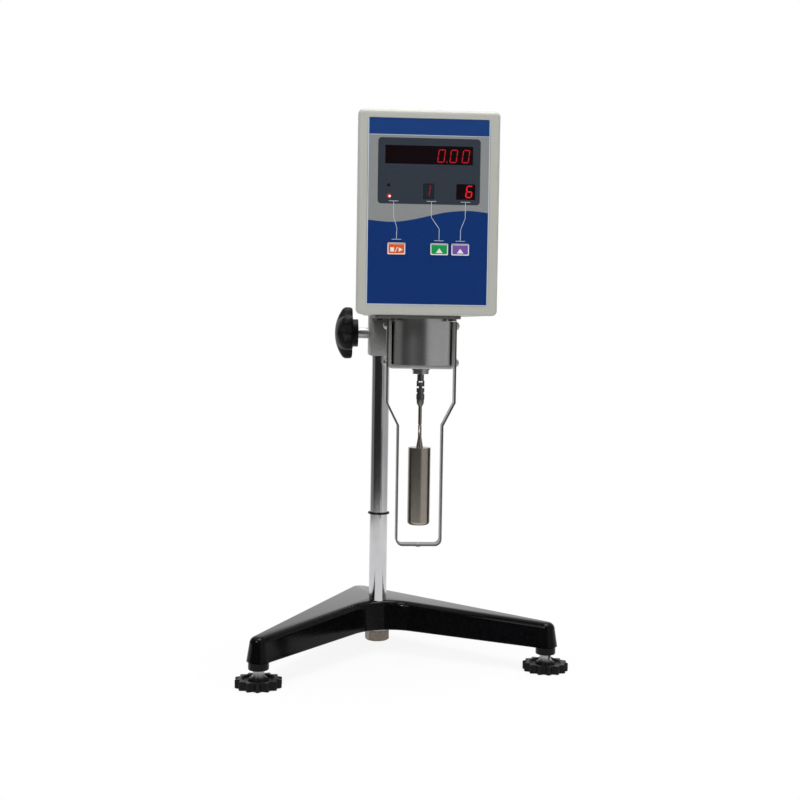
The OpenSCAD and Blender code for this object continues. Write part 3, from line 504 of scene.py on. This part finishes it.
def filmField():
    art = filmArt
    left, right = art["left"], art["right"]
    windowLeft, windowRight = ((x - spindleAt.x) / mm for x in (windowLow.x, windowHigh.x))
    windowFoot, windowTop = windowLow.z / mm, windowHigh.z / mm
    foot = windowFoot - art["windowMargin"]
    shapes = ringOf(
        roundedOutline(left, foot, right, art["bandBottom"], art["fieldCorner"]),
        roundedOutline(windowLeft, windowFoot, windowRight, windowTop, art["windowCorner"]),
    )
    return shapes + [smoothLine(art["wave"]) + [(right, foot), (left, foot)]]


def filmLines():
    art = filmArt
    left, right, foot = art["left"], art["right"], art["bottom"]
    thin, rim = art["lineWidth"], art["edgeWidth"]
    shapes = strip([(left, art["bandBottom"] - thin / 2), (right, art["bandBottom"] - thin / 2)], thin)
    for x in (left + rim / 2, right - rim / 2):
        shapes += strip([(x, foot + rim), (x, art["top"])], rim)
    shapes += strip([(left, foot + rim / 2), (right, foot + rim / 2)], rim)
    for points in art["leaders"]:
        shapes += strip(points, thin)
        for x, z in (points[0], points[-1]):
            shapes += strip([(x - art["barHalf"], z), (x + art["barHalf"], z)], thin)
    return shapes


def printFilm():
    art = filmArt
    border = ringOf(
        roundedOutline(art["left"], art["bottom"], art["right"], art["top"], art["corner"]),
        roundedOutline(*art["inside"], art["insideCorner"]),
    )
    band = [rectangle(art["left"], art["bandBottom"], art["right"], art["top"])]
    borderFront, fieldFront, linesFront = (filmFront - layers[key] * mm for key in ("border", "field", "lines"))
    flatShape("filmBorder", border, borderFront, materials["overlay_blue"], "overlay_blue", layers["border"])
    flatShape("filmGreyField", filmField(), fieldFront, inks["film_grey"], "overlay_blue")
    flatShape("filmTopBand", band, fieldFront, inks["film_band"], "overlay_blue")
    flatShape("filmLines", filmLines(), linesFront, inks["film_line"], "overlay_blue")


printFilm()
print("film printed")

# Display behind the dark window
displayWindows = {
    "mainWindow": dict(corners=(-35.0, 423.1, 34.7, 437.6), ink="led_window"),
    "rotorWindow": dict(corners=(-4.7, 395.6, 4.3, 408.1), ink="led_window_faint"),
    "speedWindow": dict(corners=(21.8, 395.8, 37, 408.1), ink="led_window"),
}
displayDigits = {
    "litDigits": dict(
        digit="0", places=((6.5, 425), (16.2, 425), (25.9, 425)), size=(5, 9.7), stroke=0.75,
        points=[(13.4, 424.7, 14.3, 425.6)], ink="led_lit"),
    "speedDigit": dict(digit="6", places=((29.3, 397.7),), size=(4.4, 8.9), stroke=1.0125, ink="led_bright"),
    "dimDigits": dict(digit="1", places=((-3.8, 398.2),), size=(4, 8.6), stroke=0.75, ink="led_dim"),
}
segments = dict(lit={"0": "abcdef", "1": "bc", "6": "acdefg"}, gap=0.15, slant=0.13)


def digitShapes(digit, place, size, stroke):
    x, z = place
    width, height = size
    middle = height / 2
    bars = {
        "a": ((0, height), (width, height)), "g": ((0, middle), (width, middle)), "d": ((0, 0), (width, 0)),
        "f": ((0, height), (0, middle)), "e": ((0, middle), (0, 0)),
        "b": ((width, height), (width, middle)), "c": ((width, middle), (width, 0)),
    }
    shapes = []
    for letter in segments["lit"][digit]:
        start, end = (Vector(corner) for corner in bars[letter])
        along = (end - start).normalized()
        side = Vector((-along.y, along.x)) * stroke / 2
        start += along * segments["gap"]
        end -= along * segments["gap"]
        tip = along * stroke / 2
        ring = [start, start + tip - side, end - tip - side, end, end - tip + side, start + tip + side]
        shapes.append([(x + p.x + segments["slant"] * p.y, z + p.y) for p in ring])
    return shapes


for name, window in displayWindows.items():
    front = windowLow.y - layers["windows"] * mm
    flatShape(name, [rectangle(*window["corners"])], front, inks[window["ink"]], "led_module")
for name, art in displayDigits.items():
    shapes = []
    for place in art["places"]:
        shapes += digitShapes(art["digit"], place, art["size"], art["stroke"])
    shapes += [rectangle(*point) for point in art.get("points", ())]
    flatShape(name, shapes, windowLow.y - layers["digits"] * mm, inks[art["ink"]], "led_red")

lampDome = dict(high=0.25, sunk=0.02, around=32, along=16)
statusLamps = {
    "runLamp": dict(x=-31.9, z=406.3, radius=1.5, ink="lamp_off"),
    "stopLamp": dict(x=-31.5, z=397.7, radius=1.8, ink="led_lit"),
    "stopLampCore": dict(x=-31.2, z=397.5, radius=0.85, ink="lamp_core", rise=0.15),
}


def roundLamp(name, x, z, radius, ink, rise=0):
    bm = bmesh.new()
    bmesh.ops.create_uvsphere(
        bm, u_segments=lampDome["around"], v_segments=lampDome["along"], radius=radius * mm)
    bmesh.ops.scale(bm, vec=(1, lampDome["high"] / radius, 1), verts=bm.verts)
    at = (spindleAt.x + x * mm, windowLow.y + (lampDome["sunk"] - rise) * mm, z * mm)
    bmesh.ops.translate(bm, vec=at, verts=bm.verts)
    addPiece(name, bm, "carriage", "led_red", inks[ink])


for name, values in statusLamps.items():
    roundLamp(name, **values)
print("display lit")

# Marks on the keys, with places from the middle of each key, and a painted highlight along each key's top edge
keyRim = dict(outside=0.12, inside=0.9, corner=0.9, bar=0.8, barInset=1, depth=0.05)
arrow = [(-2.7, -3), (2.7, -3), (0, 0.7)]
keyMarks = {
    "stop": [
        rectangle(-4.8, -2.5, -1.8, 0.9), [(1.9, -2.6), (5, -0.8), (1.9, 1)],
        *strip([(-0.8, -2.4), (0.8, 0.9)], 0.6),
    ],
    "rotor": [arrow],
    "speed": [arrow],
}
keyLow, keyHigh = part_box("stop_key")
keyHalf = (keyHigh - keyLow) / 2 / mm


def markKey(name, shapes):
    at = (middleOf(name + "_key") - spindleAt) / mm
    halfX, halfZ = keyHalf.x, keyHalf.z
    rim = ringOf(*(
        roundedOutline(
            at.x - halfX + inset, at.z - halfZ + inset, at.x + halfX - inset, at.z + halfZ - inset,
            keyRim["corner"])
        for inset in (keyRim["outside"], keyRim["inside"])
    ))
    # The bar along the top edge of each key is a painted highlight, in the same light ink as the border
    barHalf = halfX - keyRim["barInset"]
    highlightAt = at.z + halfZ - keyRim["inside"]
    rim += strip([(at.x - barHalf, highlightAt), (at.x + barHalf, highlightAt)], keyRim["bar"])
    mark = [[(at.x + dx, at.z + dz) for dx, dz in shape] for shape in shapes]
    front = keyLow.y - layers["marks"] * mm
    # The rim piece holds the light border and the painted top highlight together
    for part, outlines, ink in (("Rim", rim, "key_rim"), ("Mark", mark, "key_mark")):
        piece = flatShape(name + part, outlines, front, inks[ink], "white_plastic", keyRim["depth"])
        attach(piece, name + "_button")


for name, shapes in keyMarks.items():
    markKey(name, shapes)
print("keys marked")


# Turned and lobed pieces, whose profiles run in radius and height
def turned(profile, steps=96):
    bm = bmesh.new()
    ring = [bm.verts.new((r * mm, 0, z * mm)) for r, z in profile]
    edges = [bm.edges.new(pair) for pair in zip(ring, ring[1:])]
    bmesh.ops.spin(
        bm, geom=ring + edges, cent=(0, 0, 0), axis=(0, 0, 1), angle=math.tau, steps=steps, use_merge=True,
    )
    bmesh.ops.remove_doubles(bm, verts=bm.verts, dist=mergeDistance)
    bmesh.ops.recalc_face_normals(bm, faces=bm.faces)
    return bm


def lobed(bm, lobes, outer, depth, start, turn=0, power=1.0):
    for vert in bm.verts:
        r = math.hypot(vert.co.x, vert.co.y)
        if r < start * mm:
            continue
        angle = math.atan2(vert.co.y, vert.co.x) - turn
        valley = (0.5 - 0.5 * math.cos(lobes * angle)) ** power
        share = (r - start * mm) / ((outer - start) * mm)
        factor = 1 - depth * mm * valley * min(1, share) / r
        vert.co.x *= factor
        vert.co.y *= factor


def roundedProfile(points, radius, steps=5, share=0.49):
    path = [Vector(points[0])]
    for before, corner, after in zip(points, points[1:], points[2:]):
        corner = Vector(corner)
        back = Vector(before) - corner
        ahead = Vector(after) - corner
        reach = min(radius, back.length * share, ahead.length * share)
        start = corner + back.normalized() * reach
        end = corner + ahead.normalized() * reach
        for k in range(steps + 1):
            t = k / steps
            path.append(start * (1 - t) ** 2 + corner * 2 * t * (1 - t) + end * t * t)
    path.append(Vector(points[-1]))
    return [(p.x, p.y) for p in path]


liftKnob = dict(
    radius=23.4, thick=15.9, dome=8, domePower=2.2, domeShares=(0, 0.15, 0.3, 0.45, 0.6, 0.72, 0.84, 0.93),
    rimHigh=6.6, rimDraft=0.3, rimEdge=2.6, lobes=6, lobeDepth=5.6, lobeStart=13.5, lobePower=1.5,
    hub=12.5, hubLength=5.1, hubStep=0.4, hubSunk=0.2, hubEdge=0.6, bore=4.8, steps=144,
)


def makeLiftKnob():
    k = liftKnob
    dome = [(k["radius"] * t, k["thick"] - k["dome"] * t ** k["domePower"]) for t in k["domeShares"]]
    rim = roundedProfile([
        dome[-1], (k["radius"], k["rimHigh"]), (k["radius"] - k["rimDraft"], 0), (k["hub"] + k["hubStep"], 0),
    ], k["rimEdge"])
    hub = roundedProfile([
        (k["hub"], k["hubSunk"]), (k["hub"], -k["hubLength"]), (k["bore"], -k["hubLength"]),
    ], k["hubEdge"])
    bm = turned(dome[:-1] + rim + hub, k["steps"])
    lobed(bm, k["lobes"], k["radius"], k["lobeDepth"], k["lobeStart"], power=k["lobePower"])
    bmesh.ops.rotate(bm, verts=bm.verts, matrix=Matrix.Rotation(-math.pi / 2, 3, "Y"))
    at = middleOf("lift_knob")
    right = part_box("lift_knob")[1].x
    bmesh.ops.translate(bm, verts=bm.verts, vec=(right - k["hubLength"] * mm, at.y, at.z))
    addPiece(
        "liftKnob", bm, "lift_drive", "black_plastic",
        replaced=["lift_knob"], sharpAngle=edgeLook["knobSharpAbove"])


makeLiftKnob()

footKnob = dict(
    radius=19.5, low=0.3, top=7.6, lip=14, edge=1, lobes=14, lobeDepth=3.2, lobeStart=14.2, lobePower=0.8,
    bore=4.75, hub=7.6, hubTop=8.4, web=5.6, webFrom=8.4, webTo=12.6, webEdge=0.6,
    recess=11.4, recessHigh=1.35, steps=168,
)


def makeFootKnob(side):
    k = footKnob
    at = middleOf(side + "_foot_stud")
    inner = roundedProfile([
        (k["bore"], k["hubTop"]), (k["hub"], k["hubTop"]),
        (k["webFrom"], k["web"]), (k["webTo"], k["web"]), (k["lip"], k["top"]),
    ], k["webEdge"])
    outer = roundedProfile([
        (k["lip"], k["top"]), (k["radius"], k["top"]), (k["radius"], k["low"]), (k["recess"], k["low"]),
    ], k["edge"])
    under = [(k["recess"], k["recessHigh"]), (k["bore"], k["recessHigh"])]
    bm = turned(inner[:-1] + outer + under, k["steps"])
    lobed(bm, k["lobes"], k["radius"], k["lobeDepth"], k["lobeStart"], turn=-math.pi / 2, power=k["lobePower"])
    bmesh.ops.translate(bm, verts=bm.verts, vec=(at.x, at.y, 0))
    addPiece(
        side + "FootKnob", bm, side + "_screw", "black_plastic",
        replaced=[side + "_foot_knob"], sharpAngle=edgeLook["knobSharpAbove"])


def makeFootBoss(side):
    c = casting
    at = middleOf(side + "_foot_stud")
    bossTop = c["low"] + c["bossSunk"]
    profile = roundedProfile([
        (c["bushRadius"], c["bossLow"]), (c["bossRadius"], c["bossLow"]), (c["bossRadius"], bossTop),
    ], c["bossEdge"])
    bm = turned(profile + [(c["bushRadius"], bossTop), (c["bushRadius"], c["bossLow"])], c["bossSteps"])
    bmesh.ops.translate(bm, verts=bm.verts, vec=(at.x, at.y, 0))
    addPiece(side + "FootBoss", bm, "base", "cast_black")


for side in ("left", "right"):
    makeFootKnob(side)
    makeFootBoss(side)
print("knobs made")

# Knurled collar round the joint's lower yoke
collar = dict(
    low=234.0, high=238.6, radius=3.45, inside=3.0, lip=0.05, edge=0.3,
    ridges=30, ridgeDepth=0.3, ridgeStart=3.05, steps=180,
)


def makeCollar():
    c = collar
    profile = roundedProfile([
        (c["inside"], c["low"] - c["lip"]), (c["radius"], c["low"]),
        (c["radius"], c["high"]), (c["inside"], c["high"] + c["lip"]),
    ], c["edge"])
    bm = turned(profile, c["steps"])
    lobed(bm, c["ridges"], c["radius"], c["ridgeDepth"], c["ridgeStart"])
    bmesh.ops.translate(bm, verts=bm.verts, vec=(spindleAt.x, spindleAt.y, 0))
    addPiece("knurledCollar", bm, "hanging_rotor", "steel", materials["joint_face"])


dressNode("lower_yoke", finish="joint_face")
makeCollar()
print("joint dressed")

# Bench and backdrop, with these sizes in metres
benchShape = dict(half=6, whiteFrom=0.16, whiteTo=0.5, shareFrom=0.9, shareTo=1)
backdropGrain = dict(size=8, bump=0)


def whiteForCamera(material):
    b = benchShape
    tree = material.node_tree
    shader = tree.nodes["Principled BSDF"]
    rays = addNode(tree, "LightPath").outputs
    place = addNode(tree, "TexCoord")
    either = addNode(tree, "Math", {0: rays["Is Camera Ray"], 1: rays["Is Glossy Ray"]}, "MAXIMUM")
    distance = addNode(tree, "VectorMath", {0: place.outputs["Object"]}, "LENGTH")
    share = addNode(tree, "MapRange", {
        "Value": distance.outputs["Value"], "From Min": b["whiteFrom"], "From Max": b["whiteTo"],
        "To Min": b["shareFrom"], "To Max": b["shareTo"],
    })
    seen = addNode(tree, "Math", {0: either.outputs["Value"], 1: share.outputs["Result"]}, "MULTIPLY")
    glow = addNode(tree, "Emission", {"Strength": 1})
    mix = addNode(tree, "MixShader", {
        "Fac": seen.outputs["Value"], 1: shader.outputs["BSDF"], 2: glow.outputs["Emission"],
    })
    setInputs(tree, tree.nodes["Material Output"], {"Surface": mix.outputs["Shader"]})


def addBackdrop(name, bm, material):
    mesh = bpy.data.meshes.new(name)
    bm.to_mesh(mesh)
    bm.free()
    mesh.materials.append(material)
    piece = bpy.data.objects.new(name, mesh)
    bpy.context.scene.collection.objects.link(piece)
    return piece


def addBench():
    material = makeFinish("bench", (0.9, 0.9, 0.9), (0.88, 0.88, 0.88), (0.7, 0.8), **backdropGrain)
    whiteForCamera(material)
    bm = bmesh.new()
    bmesh.ops.create_grid(bm, x_segments=1, y_segments=1, size=benchShape["half"])
    addBackdrop("bench", bm, material)


addBench()


def setWorld(ambient):
    world = bpy.data.worlds.new("studio")
    bpy.context.scene.world = world
    world.use_nodes = True
    tree = world.node_tree
    rays = addNode(tree, "LightPath").outputs
    first = addNode(tree, "Math", {0: rays["Is Camera Ray"], 1: rays["Is Glossy Ray"]}, "MAXIMUM")
    second = addNode(tree, "Math", {0: first.outputs["Value"], 1: rays["Is Transmission Ray"]}, "MAXIMUM")
    strength = addNode(tree, "MapRange", {"Value": second.outputs["Value"], "To Min": ambient, "To Max": 1})
    setInputs(tree, tree.nodes["Background"], {"Color": (1, 1, 1, 1), "Strength": strength.outputs["Result"]})


setWorld(0.42)

# Lamps, whose places and sizes are in metres and powers in watts
lamps = {
    "keyLamp": dict(at=(-0.9, -1.2, 1.1), power=4.2, size=(0.7, 0.7)),
    "glintLamp": dict(at=(-0.75, -1.2, 1.15), power=2.9, size=(0.09, 0.09)),
    "fillLamp": dict(at=(1.1, -1.0, 0.6), power=3.2, size=(0.6, 0.9), mirrored=False),
    "topLamp": dict(at=(0.1, -0.12, 1.5), power=16.5, size=(1.0, 0.8)),
}
aimAt = Vector((0, -0.03, 0.24))


def addLamp(name, at, power, size, mirrored=True):
    lamp = bpy.data.lights.new(name, "AREA")
    lamp.energy = power
    lamp.shape = "RECTANGLE"
    lamp.size, lamp.size_y = size
    holder = bpy.data.objects.new(name, lamp)
    holder.location = at
    holder.rotation_euler = (aimAt - Vector(at)).to_track_quat("-Z", "Y").to_euler()
    holder.visible_glossy = mirrored
    bpy.context.scene.collection.objects.link(holder)


for name, values in lamps.items():
    addLamp(name, **values)

# Walls that only metal and glossy faces see, by their bearing to the right of the front, in metres
wallShape = dict(radius=2.2, high=2.6, apron=0.8, clear=0.003, steps=12, darker=0.9)
walls = {
    "darkWall": dict(start=-84, end=16, level=0.018),
    "greyWallLeft": dict(start=-135, end=-84, level=0.14),
    "greyWallRight": dict(start=16, end=130, level=0.34),
}


def addWall(name, start, end, level):
    w = wallShape
    bm = bmesh.new()
    bearing = math.radians(start)
    ring = [
        bm.verts.new((aimAt.x + out * math.sin(bearing), aimAt.y - out * math.cos(bearing), z))
        for out, z in ((w["apron"], w["clear"]), (w["radius"], w["clear"]), (w["radius"], w["high"]))
    ]
    edges = [bm.edges.new(pair) for pair in zip(ring, ring[1:])]
    bmesh.ops.spin(
        bm, geom=ring + edges, cent=aimAt, axis=(0, 0, 1), angle=math.radians(end - start), steps=w["steps"],
    )
    grey = (level,) * 3
    shade = (level * w["darker"],) * 3
    material = makeFinish(name, grey, shade, (0.8, 0.9), spec=0, glow=1, **backdropGrain)
    wall = addBackdrop(name, bm, material)
    wall.visible_camera = wall.visible_diffuse = wall.visible_shadow = False


for name, values in walls.items():
    addWall(name, **values)

# Camera, with focal and picture in pixels, sensor in millimetres and its place in metres,
# and with yaw in degrees but pitch and roll in radians
camera = dict(
    focal=1296.2, picture=800, sensor=36.0, nearest=0.05,
    yaw=3.897, pitch=0.0554, roll=0.0153, at=(-0.0815, -1.1354, 0.2933),
)


def setCamera():
    lens = bpy.data.cameras.new("camera")
    lens.sensor_width = camera["sensor"]
    lens.lens = camera["focal"] / camera["picture"] * camera["sensor"]
    lens.clip_start = camera["nearest"]
    yaw = math.radians(camera["yaw"])
    pitch = camera["pitch"]
    roll = camera["roll"]
    forward = Vector((math.sin(yaw) * math.cos(pitch), math.cos(yaw) * math.cos(pitch), -math.sin(pitch)))
    right = Vector((math.cos(yaw), -math.sin(yaw), 0))
    up = right.cross(forward)
    rolledRight = right * math.cos(roll) + up * math.sin(roll)
    rolledUp = up * math.cos(roll) - right * math.sin(roll)
    turn = Matrix((rolledRight, rolledUp, -forward)).transposed().to_4x4()
    holder = bpy.data.objects.new("camera", lens)
    holder.matrix_world = Matrix.Translation(camera["at"]) @ turn
    bpy.context.scene.collection.objects.link(holder)
    bpy.context.scene.camera = holder


setCamera()
bpy.context.scene.view_settings.view_transform = "Standard"
print("bench, lamps and camera set")
